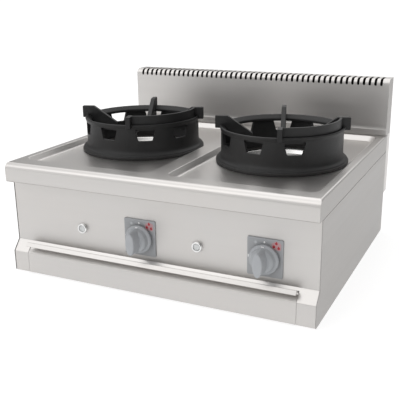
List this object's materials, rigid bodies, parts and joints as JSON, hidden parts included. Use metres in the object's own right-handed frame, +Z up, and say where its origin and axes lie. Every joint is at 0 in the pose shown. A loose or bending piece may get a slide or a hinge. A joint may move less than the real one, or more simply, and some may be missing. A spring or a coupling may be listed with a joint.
{
  "type": "gas wok range",
  "caption": "Countertop gas wok range in stainless steel with cast wok rings in recessed pans, turning gas knobs, spark buttons, a pull-out drip tray and a slotted rear flue.",
  "frame": {"origin": "middle of the footprint's bounding box, on the plane of the rubber pads' undersides", "axes": "+X to the right seen from the front, along the long side; +Y to the back, the controls face -Y; +Z up"},
  "size_m": [0.8, 0.7394, 0.446],
  "materials": {
    "satin_steel": "satin brushed stainless steel",
    "inner_steel": "plain mill-finish sheet",
    "bright_steel": "bright polished stainless steel",
    "matt_iron": "matt black enamelled casting",
    "burner_iron": "grey casting",
    "tap_brass": "machined",
    "tube_aluminium": "drawn tube",
    "zinc_steel": "zinc plated",
    "grey_plastic": "fine satin moulding",
    "black_plastic": "matt moulding",
    "white_ceramic": "glazed insulator",
    "pad_rubber": "matt"
  },
  "bodies": {
    "casing": {"worktop": "satin_steel", "side_panel_left": "satin_steel", "side_panel_right": "satin_steel", "control_panel": "satin_steel", "front_frame": "satin_steel", "rear_panel": "satin_steel", "flue_cover": "satin_steel", "flue_back": "satin_steel", "base_plate": "inner_steel", "centre_brace": "inner_steel", "burner_rail_front": "inner_steel", "burner_rail_rear": "inner_steel", "tray_runner_left": "inner_steel", "tray_runner_right": "inner_steel", "spill_bowl_left": "bright_steel", "spill_bowl_right": "bright_steel", "igniter_collar_left": "bright_steel", "igniter_collar_right": "bright_steel", "burner_body_left": "burner_iron", "burner_body_right": "burner_iron", "burner_head_left": "burner_iron", "burner_head_right": "burner_iron", "gas_tap_left": "tap_brass", "gas_tap_right": "tap_brass", "gas_jet_left": "tap_brass", "gas_jet_right": "tap_brass", "supply_tube_left": "tube_aluminium", "supply_tube_right": "tube_aluminium", "pilot_burner_left": "tube_aluminium", "pilot_burner_right": "tube_aluminium", "gas_manifold": "zinc_steel", "gas_inlet": "zinc_steel", "rear_screw_upper_left": "zinc_steel", "rear_screw_upper_right": "zinc_steel", "rear_screw_lower_left": "zinc_steel", "rear_screw_lower_right": "zinc_steel", "flame_sensor_left": "zinc_steel", "flame_sensor_right": "zinc_steel", "knob_plate_left": "grey_plastic", "knob_plate_right": "grey_plastic", "igniter_body_left": "black_plastic", "igniter_body_right": "black_plastic", "spark_electrode_left": "white_ceramic", "spark_electrode_right": "white_ceramic", "foot_pad_front_left": "pad_rubber", "foot_pad_front_right": "pad_rubber", "foot_pad_rear_left": "pad_rubber", "foot_pad_rear_right": "pad_rubber"},
    "push_left": {"push_collar_left": "zinc_steel"},
    "turn_left": {"knob_left": "grey_plastic", "tap_spindle_left": "tap_brass"},
    "spark_button_left": {"igniter_button_left": "grey_plastic"},
    "ring_left": {"wok_ring_left": "matt_iron"},
    "push_right": {"push_collar_right": "zinc_steel"},
    "turn_right": {"knob_right": "grey_plastic", "tap_spindle_right": "tap_brass"},
    "spark_button_right": {"igniter_button_right": "grey_plastic"},
    "ring_right": {"wok_ring_right": "matt_iron"},
    "tray": {"tray_front": "satin_steel", "drip_tray": "bright_steel"}
  },
  "joints": [
    {"name": "tray_slide", "type": "slide", "parent": "casing", "child": "tray", "axis": [0, -1, 0], "range_m": [0, 0.45]},
    {"name": "knob_left_push", "type": "slide", "parent": "casing", "child": "push_left", "axis": [0, 1, 0], "range_m": [0, 0.003], "stiffness_N_per_m": 600},
    {"name": "knob_left_turn", "type": "hinge", "parent": "push_left", "child": "turn_left", "pos_m": [-0.0343, -0.3207, 0.137], "axis": [0, -1, 0], "range_deg": [0, 180]},
    {"name": "spark_button_left_push", "type": "slide", "parent": "casing", "child": "spark_button_left", "axis": [0, 1, 0], "range_m": [0, 0.0035], "stiffness_N_per_m": 400},
    {"name": "ring_left_lift", "type": "slide", "parent": "casing", "child": "ring_left", "axis": [0, 0, 1], "range_m": [0, 0.18]},
    {"name": "knob_right_push", "type": "slide", "parent": "casing", "child": "push_right", "axis": [0, 1, 0], "range_m": [0, 0.003], "stiffness_N_per_m": 600},
    {"name": "knob_right_turn", "type": "hinge", "parent": "push_right", "child": "turn_right", "pos_m": [0.276, -0.3207, 0.137], "axis": [0, -1, 0], "range_deg": [0, 180]},
    {"name": "spark_button_right_push", "type": "slide", "parent": "casing", "child": "spark_button_right", "axis": [0, 1, 0], "range_m": [0, 0.0035], "stiffness_N_per_m": 400},
    {"name": "ring_right_lift", "type": "slide", "parent": "casing", "child": "ring_right", "axis": [0, 0, 1], "range_m": [0, 0.18]}
  ]
}
